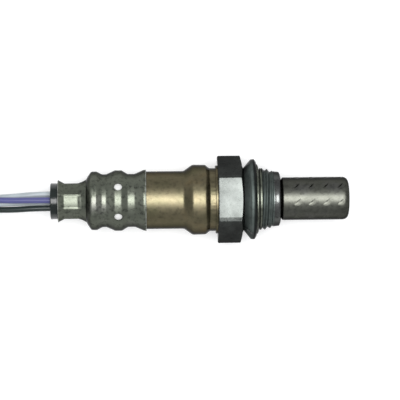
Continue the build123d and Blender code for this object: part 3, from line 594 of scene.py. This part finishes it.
class SENSOR_OT_housing(bpy.types.Operator):
    """Hexagon with chamfered ends, weld collar and threaded shank."""

    bl_idname = "sensor.housing"
    bl_label = "Housing"

    hexagon_back = -7.45
    hexagon_front = 0.0
    front_chamfer_radius = 9.3
    front_chamfer_slope = tan(radians(15))
    rear_chamfer_slope = tan(radians(8))
    rear_edge = 0.4
    rear_edge_steps = ((0.6, 0.994), (0.4, 0.982))
    thread_start = 5.2
    thread_end = 8.95
    thread_crest = 9.05
    thread_root = 7.95
    helix_start = 5.47
    run_out = (0.09, 0.055)
    lead_in_radius = 8.6
    lead_in_slope = 2.0
    shank_bore = 7.2

    def hexagon(self, sizes):
        """A hexagonal bar with worn edges, chamfered by a cone in front and a smaller one behind."""
        start, end, rear_edge = self.hexagon_back, self.hexagon_front, self.rear_edge
        apothem = sizes.hexagon_flats / MM / 2
        corner = apothem / cos(radians(30))
        side = [(0.0, 0.12), (0.12, 0.03), (0.3, 0.0), (corner - 1.3, 0.0), (corner - 1.15, 0.015),
                (corner - 0.12, 0.2)]
        count = 6 * len(side)
        clear_selection()
        bpy.ops.mesh.primitive_cylinder_add(
            vertices=count, radius=corner * MM, depth=(end - start - rear_edge) * MM,
            location=((start + rear_edge + end) / 2 * MM, 0, 0), rotation=(0, pi / 2, 0))
        bar = bpy.context.object
        bar.name = "hexagon_body"
        bpy.ops.object.transform_apply(location=True, rotation=True, scale=True)
        for vertex in bar.data.vertices:
            place = round(atan2(-vertex.co.y, vertex.co.z) / tau * count) % count
            flat, step = divmod(place, len(side))
            along, worn = side[step]
            y, z = Matrix.Rotation(flat * radians(60), 2) @ Vector((corner / 2 - along, apothem - worn))
            vertex.co = Vector((vertex.co.x, y * MM, z * MM))
        bpy.ops.object.mode_set(mode="EDIT")
        bpy.ops.mesh.select_all(action="DESELECT")
        bpy.ops.object.mode_set(mode="OBJECT")
        for face in bar.data.polygons:
            face.select = face.normal.x < -0.9
        bpy.ops.object.mode_set(mode="EDIT")
        for share, scale in self.rear_edge_steps:
            bpy.ops.mesh.extrude_region_move(
                TRANSFORM_OT_translate={"value": (-share * rear_edge * MM, 0, 0)})
            bpy.ops.transform.resize(value=(1, scale, scale), center_override=(0, 0, 0))
        bpy.ops.object.mode_set(mode="OBJECT")
        face_radius = self.front_chamfer_radius
        front_x = end - (corner + 1 - face_radius) * self.front_chamfer_slope
        rear_x = start + 0.6 * self.rear_chamfer_slope + 0.05
        cone = turned("chamfer", [
            (start, 0), (start, corner - 0.6), (rear_x, corner + 0.2), (start + rear_edge, corner + 1),
            (front_x, corner + 1), (end, face_radius), (end, 0),
        ], sizes.round_steps)
        cut(bar, cone, "INTERSECT")
        return bar

    def thread(self, sizes):
        """A cylinder whose rings are pulled in along a helix, and which runs out towards the nose."""
        pitch = sizes.thread_pitch / MM
        depth = sizes.thread_depth / MM
        start, end, bore = self.thread_start, self.thread_end, self.shank_bore
        rings = [(x, self.thread_crest) for x in subdivided(start, end, 0.05)]
        outline = [(start, bore)] + rings + [(end, bore), (start, bore)]
        shank = turned("threaded_shank", outline, sizes.round_steps)
        flank = 2.5
        half_crest = 0.08

        def cut_helix(x, angle, radius):
            if radius < self.thread_root:
                return x, radius
            phase = ((x - self.helix_start) / pitch - (angle - radians(90)) / tau) % 1.0
            groove = min(1.0, max(0.0, min(phase, 1 - phase) * flank - half_crest))
            along = x - start
            crest = self.thread_crest - self.run_out[0] * along - self.run_out[1] * along ** 2
            lead_in = self.lead_in_radius + self.lead_in_slope * along
            return x, max(self.thread_root, min(crest - depth * groove, lead_in))

        reshape(shank, cut_helix)
        return shank

    def execute(self, context):
        sizes = context.scene.sensor_sizes
        colours = context.scene.sensor_colours
        bar = self.hexagon(sizes)
        smooth(bar, radians(28))
        hand_over(bar, black_steel(colours), "housing")
        plain_turned("weld_collar", COLLAR_OUTLINE, sizes.round_steps, bronze_steel(colours), "housing")
        shank = self.thread(sizes)
        smooth(shank, radians(50))
        hand_over(shank, thread_steel(colours), "housing")
        plain_turned("thread_relief", RELIEF_OUTLINE, sizes.round_steps, vent_steel(colours), "housing")
        plain_turned("housing_nose", NOSE_OUTLINE, sizes.round_steps, nose_steel(), "housing")
        return {"FINISHED"}


class SENSOR_OT_gasket(bpy.types.Operator):
    """Crushed ring of folded sheet, a little uneven and staked at one place."""

    bl_idname = "sensor.gasket"
    bl_label = "Gasket"

    even_radius = 9.4
    uneven_radius = 0.035
    uneven_lean = 0.06
    stake_angle = radians(-68)
    stake_x = 1.6
    stake_half_length = 1.5
    stake_half_angle = 0.2
    stake_depth = 0.7
    crest_slack = 0.05

    def execute(self, context):
        sizes = context.scene.sensor_sizes
        colours = context.scene.sensor_colours
        ring = turned("crush_gasket", rounded(GASKET_OUTLINE), sizes.round_steps)

        def crush(x, angle, radius):
            lift = max(0.0, radius - self.even_radius)
            radius += self.uneven_radius * lift * ripple(angle, 1.3)
            away = abs((angle - self.stake_angle + pi) % tau - pi)
            stake = max(0.0, 1 - (away / self.stake_half_angle) ** 2)
            stake *= max(0.0, 1 - ((x - self.stake_x) / self.stake_half_length) ** 2)
            radius -= self.stake_depth * stake * min(1.0, lift)
            x += self.uneven_lean * lift * ripple(angle, 2.9, 3)
            return x, min(radius, GASKET_RADIUS / MM + self.crest_slack)

        reshape(ring, crush)
        smooth(ring, radians(45))
        hand_over(ring, gasket_steel(colours), "gasket")
        plain_turned("gasket_lip", GASKET_LIP_OUTLINE, sizes.round_steps, vent_steel(colours), "gasket")
        return {"FINISHED"}


class SENSOR_OT_protection_tube(bpy.types.Operator):
    """Closed tube over the tip with rows of louvres pressed in."""

    bl_idname = "sensor.protection_tube"
    bl_label = "Protection tube"

    rows = 8
    columns = 4
    first_x = 15.3
    pitch = 4.17
    phase = radians(-8)
    turn = radians(-45)
    sheet = 0.4
    scoop_slope = 0.13
    scoop_steepness = 2.6
    scoop_overlap = 1.01

    def half_disc(self, radius, thickness):
        """A half-round plate, its straight edge through the origin and its arc towards +X."""
        clear_selection()
        bpy.ops.mesh.primitive_cylinder_add(vertices=40, radius=radius, depth=thickness)
        plate = bpy.context.object
        bpy.ops.mesh.primitive_cube_add(size=4 * radius, location=(-2 * radius, 0, 0))
        cut(plate, bpy.context.object)
        return plate

    def scoop(self, radius, depth):
        """Sheet pressed in from the arc: a gentle slope that drops steeply just before the slit."""
        clear_selection()
        bpy.ops.mesh.primitive_grid_add(x_subdivisions=10, y_subdivisions=18, size=2)
        sheet = bpy.context.object
        for vertex in sheet.data.vertices:
            out = (vertex.co.x + 1) / 2
            angle = vertex.co.y * pi / 2
            x, y = out * radius * cos(angle), out * radius * sin(angle)
            drop = max(0.0, 1 - self.scoop_steepness * x / radius) ** 2 * (1 - (y / radius) ** 2)
            vertex.co = Vector((x, y, -self.scoop_slope * (radius - out * radius) - depth * drop))
        bpy.ops.object.mode_set(mode="EDIT")
        close_mesh()
        if sum(face.normal.z for face in sheet.data.polygons) < 0:
            turn_inside_out()
        wall(sheet, self.sheet / 2 * MM)
        return sheet

    def place_all(self, pattern):
        """Copies a piece to every louvre's place, wrapped round the tube."""
        copies = []
        pattern.data.transform(Matrix.Rotation(self.turn, 4, "Z"))
        for vertex in pattern.data.vertices:
            angle = vertex.co.y / TUBE_RADIUS
            height = TUBE_RADIUS + vertex.co.z
            vertex.co = Vector((vertex.co.x, height * sin(angle), height * cos(angle)))
        for row in range(self.rows):
            angle = self.phase + row * tau / self.rows
            for column in range(self.columns):
                x = self.first_x + column * self.pitch
                copy = pattern.copy()
                copy.data = pattern.data.copy()
                bpy.context.collection.objects.link(copy)
                copy.data.transform(Matrix.Translation((x * MM, 0, 0)) @ Matrix.Rotation(-angle, 4, "X"))
                copies.append(copy)
        bpy.data.objects.remove(pattern)
        return join(copies)

    def execute(self, context):
        sizes = context.scene.sensor_sizes
        tube = turned("protection_tube", rounded(TUBE_OUTLINE, 10), sizes.round_steps)
        wall(tube, self.sheet * MM)
        cut(tube, self.place_all(self.half_disc(sizes.louvre_radius, 3 * self.sheet * MM)))
        scoop = self.scoop(sizes.louvre_radius * self.scoop_overlap, sizes.louvre_depth)
        tube = join([tube, self.place_all(scoop)])
        smooth(tube, radians(30))
        hand_over(tube, tube_steel(context.scene.sensor_colours), "outer_tip_cover")
        return {"FINISHED"}


class SENSOR_OT_rear_cover(bpy.types.Operator):
    """Drawn cover with a bulge, welded to the collar."""

    bl_idname = "sensor.rear_cover"
    bl_label = "Rear cover"

    sheet = 0.5
    ring_step = 0.35
    weld_start = -9.7
    weld_end = -8.0
    weld_x = -8.7
    weld_height = 0.055

    def execute(self, context):
        sizes = context.scene.sensor_sizes
        outline = rounded(COVER_OUTLINE)
        rings = []
        for before, after in zip(outline, outline[1:]):
            count = max(1, round((after - before).length / self.ring_step))
            rings += [before.lerp(after, index / count) for index in range(count)]
        cover = turned("drawn_cover", rings + [outline[-1]], sizes.round_steps)

        def weld(x, angle, radius):
            if self.weld_start < x < self.weld_end:
                bead = sin(angle * 46 + 3 * sin(angle * 5)) * 0.5 + sin(angle * 97 + x * 9) * 0.3
                radius += self.weld_height * bead * max(0.0, 1 - (x - self.weld_x) ** 2)
            return x, radius

        reshape(cover, weld)
        wall(cover, self.sheet * MM)
        smooth(cover, radians(40))
        hand_over(cover, bronze_steel(context.scene.sensor_colours), "rear_cover")
        return {"FINISHED"}


class SENSOR_OT_vent_cover(bpy.types.Operator):
    """Corrugated outer cover with round vents, crimped in flats round the grommet."""

    bl_idname = "sensor.vent_cover"
    bl_label = "Vent cover"

    holes = 6
    hole_phase = radians(27)
    hole_x = -36.0
    hole_height = 8.5
    press_start = -47.2
    press_end = -52.2
    press_fade = 0.5
    press_phase = radians(2.5)
    flatness = 0.4
    ridge_start = 0.82
    ridge_height = 0.2
    shoulder = (-47.3, -45.0)

    def press(self, x, angle, radius, flats):
        """Presses flats with ridges between them, and makes the sheet uneven on both sides of them."""
        if x < self.press_start:
            step = tau / flats
            off = (angle + self.press_phase + step / 2) % step - step / 2
            share = min(1.0, (self.press_start - x) / self.press_fade)
            share *= min(1.0, max(0.0, (x - self.press_end) / self.press_fade))
            flat = cos(step / 2) / cos(off)
            ridge = max(0.0, abs(off) / (step / 2) - self.ridge_start) / (1 - self.ridge_start)
            radius *= 1 + share * self.flatness * (flat - 1)
            radius += share * (self.ridge_height * ridge + 0.015 * ripple(angle, 4.1 + x * 0.4, 7))
        if x < self.press_end:
            radius += 0.03 * ripple(angle, 0.7, 6)
        if self.shoulder[0] < x < self.shoulder[1]:
            radius += 0.04 * ripple(angle, 3.3, 8)
        return x, radius

    def execute(self, context):
        sizes = context.scene.sensor_sizes
        colours = context.scene.sensor_colours
        outline = rounded(VENT_OUTLINE)
        crimp = [Vector((x, CRIMP_RADIUS)) for x in subdivided(CRIMP_START, CRIMP_END, 0.3)]
        front = [point for point in outline if point.x > CRIMP_START]
        back = [point for point in outline if point.x < CRIMP_END]
        cover = turned("vented_cover", front + crimp + back, sizes.round_steps)
        reshape(cover, lambda x, angle, radius: self.press(x, angle, radius, sizes.crimp_flats))
        wall(cover, sizes.vent_wall)
        top = Matrix.Translation((self.hole_x * MM, 0, self.hole_height * MM))
        angles = [self.hole_phase + hole * tau / self.holes for hole in range(self.holes)]
        cut(cover, pins([Matrix.Rotation(-angle, 4, "X") @ top for angle in angles], sizes.vent_hole, 48))
        smooth(cover, radians(38))
        hand_over(cover, vent_steel(colours), "vent_cover")
        edge = bare_edge(colours)
        plain_turned("front_edge", FRONT_EDGE_OUTLINE, sizes.round_steps, edge, "vent_cover", arc_steps=3)
        plain_turned("rear_edge", REAR_EDGE_OUTLINE, sizes.round_steps, edge, "vent_cover", arc_steps=3)
        return {"FINISHED"}


class SENSOR_OT_filter(bpy.types.Operator):
    """White filter sleeve that shows through the vents."""

    bl_idname = "sensor.filter"
    bl_label = "Filter sleeve"

    bore = 6.76
    bulge = 0.75
    end_margin = 0.2

    def execute(self, context):
        sizes = context.scene.sensor_sizes
        start, end = (place / MM for place in node_span("filter_sleeve"))
        outer = node_radius("filter_sleeve") / MM
        middle = (start + end) / 2
        places = subdivided(start + self.end_margin, end - self.end_margin, 0.4)
        swell = [(x, outer + self.bulge * cos((x - middle) * pi / (end - start)) ** 2) for x in places]
        outline = [(start, self.bore), (start, outer)] + swell
        outline += [(end, outer), (end, self.bore), (start, self.bore)]
        band = turned("filter_band", outline, sizes.round_steps)
        smooth(band)
        hand_over(band, ceramic("White porous filter", (0.95, 0.95, 0.94), 0.75), "filter_sleeve")
        return {"FINISHED"}


class SENSOR_OT_grommet(bpy.types.Operator):
    """Rubber plug at the crimp, with a bore for each lead."""

    bl_idname = "sensor.grommet"
    bl_label = "Grommet"

    bore_radius = 0.93

    def execute(self, context):
        sizes = context.scene.sensor_sizes
        plug = turned("lead_grommet", rounded(GROMMET_OUTLINE), sizes.round_steps)
        lengthwise = Matrix.Rotation(pi / 2, 4, "Y")
        places = [Matrix.Translation(points[0]) @ lengthwise for points in LEAD_ROUTES.values()]
        cut(plug, pins(places, self.bore_radius * MM, 40))
        smooth(plug)
        hand_over(plug, rubber("Grommet rubber", (0.006, 0.010, 0.009), 0.2), "grommet")
        return {"FINISHED"}


# Routes of the leads and of the cable, in metres, as points chosen along each cord

LEAD_CIRCLE = 2.0 * MM
LEAD_PHASE = radians(8.5)
BUNDLE = [(-60.5, -0.05), (-66.0, -0.45), (-72.5, -1.35), (-79.5, -2.9), (-86.8, -4.95)]
LEAD_SIDES = {
    "lead_ground": [(0.32, 1.95), (0.32, 1.8), (0.55, 1.7), (1.0, 1.1), (0.95, 0.95)],
    "lead_heater_a": [(1.95, -0.35), (1.45, -0.6), (1.15, -0.85), (0.95, -0.95), (0.95, -0.95)],
    "lead_heater_b": [(-0.4, -1.7), (-0.4, -0.7), (-0.55, 0.0), (-0.9, 0.75), (-0.95, 0.95)],
    "lead_signal": [(-2.0, 0.1), (-2.35, -0.3), (-2.3, -0.9), (-1.4, -1.05), (-0.95, -0.95)],
}


def lead_routes():
    """Each lead's points: its bore in the grommet, then beside the middle of the bundle."""
    routes = {}
    for index, (name, sides) in enumerate(LEAD_SIDES.items()):
        angle = LEAD_PHASE + index * pi / 2
        points = [Vector((GROMMET_FACE, 0, 0)) + outwards(angle) * LEAD_CIRCLE]
        for (x, z), (side_y, side_z) in zip(BUNDLE, sides):
            points.append(Vector((x, side_y, z + side_z)) * MM)
        routes[name] = points
    return routes


LEAD_ROUTES = lead_routes()
SLEEVE_IN = [(-87.0, 0.0, -5.0), (-92.6, 0.1, -7.1), (-98.0, 1.7, -8.6), (-103.5, 5.2, -9.02),
             (-110.0, 8.0, -9.02), (-117.0, 8.6, -9.02)]
COIL_NORTH = Vector((-117.0, 8.6)) * MM
COIL_PITCH = 5.8 * MM
STEP_UP_START = 0.458
STEP_UP_LENGTH = 0.361
PLUG_BEND_RADIUS = 20.6 * MM
PLUG_BEND_STEP = radians(30)
PLUG_BEND_HEIGHTS = [3.98, 6.58, 7.98]
CABLE_END = Vector((-137.6, -12.3, 7.98)) * MM


def turn_point(radius, step, angle, z):
    """A control point of a turn, far enough out that the smooth line has this radius."""
    reach = radius / cos(step / 2)
    return Vector((COIL_NORTH.x - reach * sin(angle), COIL_NORTH.y - radius + reach * cos(angle), z))


def coil_height(turn):
    """How high the cable lies after this many turns: each one steps up onto the last on one side."""
    whole = int(turn)
    share = min(1.0, max(0.0, (turn - whole - STEP_UP_START) / STEP_UP_LENGTH))
    return COIL_PITCH * (whole + share * share * (3 - 2 * share))


def cable_route(sizes):
    """Points of the sleeved cable: down to the floor, round the coil and over it to the plug."""
    steps = 16
    floor = FLOOR_Z + sizes.sleeve_diameter / 2
    points = [Vector(point) * MM for point in SLEEVE_IN]
    for step in range(1, round(sizes.coil_turns * steps)):
        turn = step / steps
        points.append(turn_point(sizes.coil_radius, tau / steps, turn * tau, floor + coil_height(turn)))
    for bend, height in enumerate(PLUG_BEND_HEIGHTS):
        angle = PLUG_BEND_STEP * (bend + 0.5)
        points.append(turn_point(PLUG_BEND_RADIUS, PLUG_BEND_STEP, angle, height * MM))
    points.append(CABLE_END)
    return points


def cord_curve(name, points, diameter):
    """A round cord on one smooth line through its route."""
    data = bpy.data.curves.new(name, "CURVE")
    data.dimensions = "3D"
    data.bevel_depth = diameter / 2
    data.bevel_resolution = 8
    data.resolution_u = 12
    data.use_fill_caps = True
    spline = data.splines.new("NURBS")
    spline.points.add(len(points) - 1)
    for control, point in zip(spline.points, points):
        control.co = (*point, 1.0)
    spline.order_u = 3
    spline.use_endpoint_u = True
    cord = bpy.data.objects.new(name, data)
    bpy.context.collection.objects.link(cord)
    return cord


def line_length(points):
    """The length of the smooth line that these points give."""
    trial = cord_curve("trial", points, 0.0)
    mesh = bpy.data.meshes.new_from_object(trial)
    bpy.data.objects.remove(trial)
    ends = [[mesh.vertices[index].co for index in edge.vertices] for edge in mesh.edges]
    return sum((first - second).length for first, second in ends)


class SENSOR_OT_leads(bpy.types.Operator):
    """Four leads from the grommet to the sleeve."""

    bl_idname = "sensor.leads"
    bl_label = "Leads"

    def execute(self, context):
        sizes = context.scene.cable_sizes
        colours = context.scene.sensor_colours
        jackets = {
            "lead_ground": lead_jacket("Blue lead jacket", tuple(colours.blue_lead)),
            "lead_signal": lead_jacket("Black lead jacket", tuple(colours.black_lead)),
        }
        grey_jacket = lead_jacket("Grey lead jacket", tuple(colours.grey_lead))
        for name, points in LEAD_ROUTES.items():
            lead = cord_curve(name + "_jacket", points, sizes.lead_diameter)
            hand_over(lead, jackets.get(name, grey_jacket), name)
            line_length(points)
        return {"FINISHED"}


class SENSOR_OT_cable(bpy.types.Operator):
    """Sleeved cable: down to the floor, round the tied coil and on to the plug."""

    bl_idname = "sensor.cable"
    bl_label = "Cable sleeve"

    def execute(self, context):
        sizes = context.scene.cable_sizes
        points = cable_route(sizes)
        cable = cord_curve("cable_sleeve", points, sizes.sleeve_diameter)
        hand_over(cable, rubber("Cable sleeve rubber", (0.016, 0.016, 0.017), 0.48),
                  "cable_sleeve_in", "cable_coil", "cable_sleeve_out")
        line_length(points)
        return {"FINISHED"}


class SENSOR_OT_packed_parts(bpy.types.Operator):
    """Finishes of the parts that stay as they are packed: those inside, the tie and the plug."""

    bl_idname = "sensor.packed_parts"
    bl_label = "Inner parts and plug"

    def execute(self, context):
        steel = plated_metal("Bright inner steel", (0.55, 0.55, 0.54), 0.3)
        brass = plated_metal("Tinned terminals", (0.66, 0.60, 0.45), 0.28)
        white = ceramic("White ceramic", (0.80, 0.79, 0.75), 0.5)
        finishes = {
            steel: ["inner_tip_cover", "packing_ring", "retainer_ring", "spring_ring"],
            brass: ["inner_contact", "outer_contact", "terminal_ground", "terminal_heater_a",
                    "terminal_heater_b", "terminal_signal", "connector_pins"],
            white: ["separator", "ceramic_bush", "heater_rod"],
            ceramic("Ivory zirconia", (0.78, 0.74, 0.64), 0.32): ["sensing_element"],
            ceramic("Pressed grey powder", (0.50, 0.50, 0.48), 0.9): ["talc_ring"],
            rubber("Seal rubber", (0.02, 0.02, 0.022), 0.5): ["cable_seal"],
            moulded_plastic("Black plug plastic", (0.022, 0.022, 0.024), 0.42): ["connector_shell"],
            moulded_plastic("Grey lock plastic", (0.20, 0.21, 0.22), 0.45): ["lock_plate"],
            moulded_plastic("Tie plastic", (0.03, 0.03, 0.03), 0.38): ["coil_tie"],
        }
        for material, nodes in finishes.items():
            for node in nodes:
                dress(node, material)
        return {"FINISHED"}


class SENSOR_OT_stage(bpy.types.Operator):
    """Camera, lamp, world and a plain pale floor."""

    bl_idname = "sensor.stage"
    bl_label = "Stage"

    picture_width = 400
    pixels_per_mm = 3.455
    camera_distance = 575.0
    look_at = (-12.45, -0.1, 0.0)
    camera_lean = radians(1.5)
    camera_roll = radians(0.64)
    sensor_width = 36.0
    lamp_place = (-0.012, 0.02, 0.9)
    lamp_target = (-0.012, 0, 0)
    lamp_size = (0.62, 0.46)
    lamp_power = 7.4
    floor_glow = 0.40

    def camera(self, scene):
        bpy.ops.object.camera_add()
        camera = bpy.context.object
        camera.name = "Photo camera"
        back = Vector((-sin(self.camera_lean), 0, cos(self.camera_lean)))
        right = Vector((cos(self.camera_roll), -sin(self.camera_roll), 0))
        up = back.cross(right).normalized()
        axes = Matrix((up.cross(back), up, back)).transposed().to_4x4()
        place = (Vector(self.look_at) + back * self.camera_distance) * MM
        camera.matrix_world = Matrix.Translation(place) @ axes
        camera.data.sensor_width = self.sensor_width
        zoom = self.pixels_per_mm * self.camera_distance / self.picture_width
        camera.data.lens = self.sensor_width * zoom
        camera.data.clip_start = 0.01
        camera.data.clip_end = 20.0
        scene.camera = camera

    def lamp(self):
        """A soft rectangular lamp that faces the sensor."""
        bpy.ops.object.light_add(type="AREA")
        lamp = bpy.context.object
        lamp.name = "Overhead box"
        lamp.data.shape = "RECTANGLE"
        lamp.data.size, lamp.data.size_y = self.lamp_size
        lamp.data.energy = self.lamp_power
        place = Vector(self.lamp_place)
        turn = (place - Vector(self.lamp_target)).to_track_quat("Z", "Y").to_matrix().to_4x4()
        lamp.matrix_world = Matrix.Translation(place) @ turn

    def floor(self):
        """A wide pale floor that keeps a soft shadow and is white where nothing shades it."""
        clear_selection()
        bpy.ops.mesh.primitive_plane_add(size=3.0, location=(0, 0, FLOOR_Z))
        floor = bpy.context.object
        floor.name = "Pale floor"
        material, tree, shader = new_material("Pale floor paint", (0.75, 0.75, 0.75), 0.9)
        shader.inputs["Specular IOR Level"].default_value = 0.0
        ways = tree.nodes.new("ShaderNodeLightPath")
        seen = tree.nodes.new("ShaderNodeMath")
        seen.operation = "MAXIMUM"
        mirrored = tree.nodes.new("ShaderNodeMath")
        mirrored.operation = "MAXIMUM"
        tree.links.new(ways.outputs["Is Camera Ray"], seen.inputs[0])
        tree.links.new(ways.outputs["Is Glossy Ray"], mirrored.inputs[0])
        tree.links.new(ways.outputs["Is Transmission Ray"], mirrored.inputs[1])
        tree.links.new(mirrored.outputs[0], seen.inputs[1])
        glow = tree.nodes.new("ShaderNodeMath")
        glow.operation = "MULTIPLY"
        glow.inputs[1].default_value = self.floor_glow
        tree.links.new(seen.outputs[0], glow.inputs[0])
        shader.inputs["Emission Color"].default_value = (1.0, 1.0, 1.0, 1.0)
        tree.links.new(glow.outputs[0], shader.inputs["Emission Strength"])
        floor.data.materials.append(material)

    def world(self, scene):
        world = bpy.data.worlds.new("Soft room")
        world.use_nodes = True
        background = world.node_tree.nodes["Background"]
        background.inputs["Color"].default_value = (0.96, 0.98, 1.0, 1.0)
        background.inputs["Strength"].default_value = 0.45
        scene.world = world

    def execute(self, context):
        scene = context.scene
        clear_selection()
        self.camera(scene)
        self.lamp()
        self.floor()
        self.world(scene)
        scene.view_settings.view_transform = "Standard"
        return {"FINISHED"}


class SENSOR_PT_panel(bpy.types.Panel):
    """Lists the sensor's sizes, colours and modelling steps."""

    bl_label = "Oxygen sensor"
    bl_idname = "SENSOR_PT_panel"
    bl_space_type = "VIEW_3D"
    bl_region_type = "UI"
    bl_category = "Sensor"

    def draw(self, context):
        layout = self.layout
        scene = context.scene
        for title, group in (("Sensor", scene.sensor_sizes), ("Cable", scene.cable_sizes),
                             ("Colours", scene.sensor_colours)):
            box = layout.box()
            box.label(text=title)
            for name in group.__annotations__:
                box.prop(group, name)
        for step in STEPS:
            layout.operator(step.bl_idname)


STEPS = (
    SENSOR_OT_stage, SENSOR_OT_leads, SENSOR_OT_cable, SENSOR_OT_housing, SENSOR_OT_gasket,
    SENSOR_OT_protection_tube, SENSOR_OT_rear_cover, SENSOR_OT_vent_cover, SENSOR_OT_filter,
    SENSOR_OT_grommet, SENSOR_OT_packed_parts,
)
CLASSES = (SensorSizes, CableSizes, SensorColours, SENSOR_PT_panel) + STEPS


def register():
    for kind in CLASSES:
        bpy.utils.register_class(kind)
    bpy.types.Scene.sensor_sizes = bpy.props.PointerProperty(type=SensorSizes)
    bpy.types.Scene.cable_sizes = bpy.props.PointerProperty(type=CableSizes)
    bpy.types.Scene.sensor_colours = bpy.props.PointerProperty(type=SensorColours)


def unregister():
    del bpy.types.Scene.sensor_colours
    del bpy.types.Scene.cable_sizes
    del bpy.types.Scene.sensor_sizes
    for kind in reversed(CLASSES):
        bpy.utils.unregister_class(kind)


def main():
    register()
    bpy.ops.sensor.stage()
    bpy.ops.sensor.leads()
    bpy.ops.sensor.cable()
    bpy.ops.sensor.housing()
    bpy.ops.sensor.gasket()
    bpy.ops.sensor.protection_tube()
    bpy.ops.sensor.rear_cover()
    bpy.ops.sensor.vent_cover()
    bpy.ops.sensor.filter()
    bpy.ops.sensor.grommet()
    bpy.ops.sensor.packed_parts()


if __name__ == "__main__":
    main()
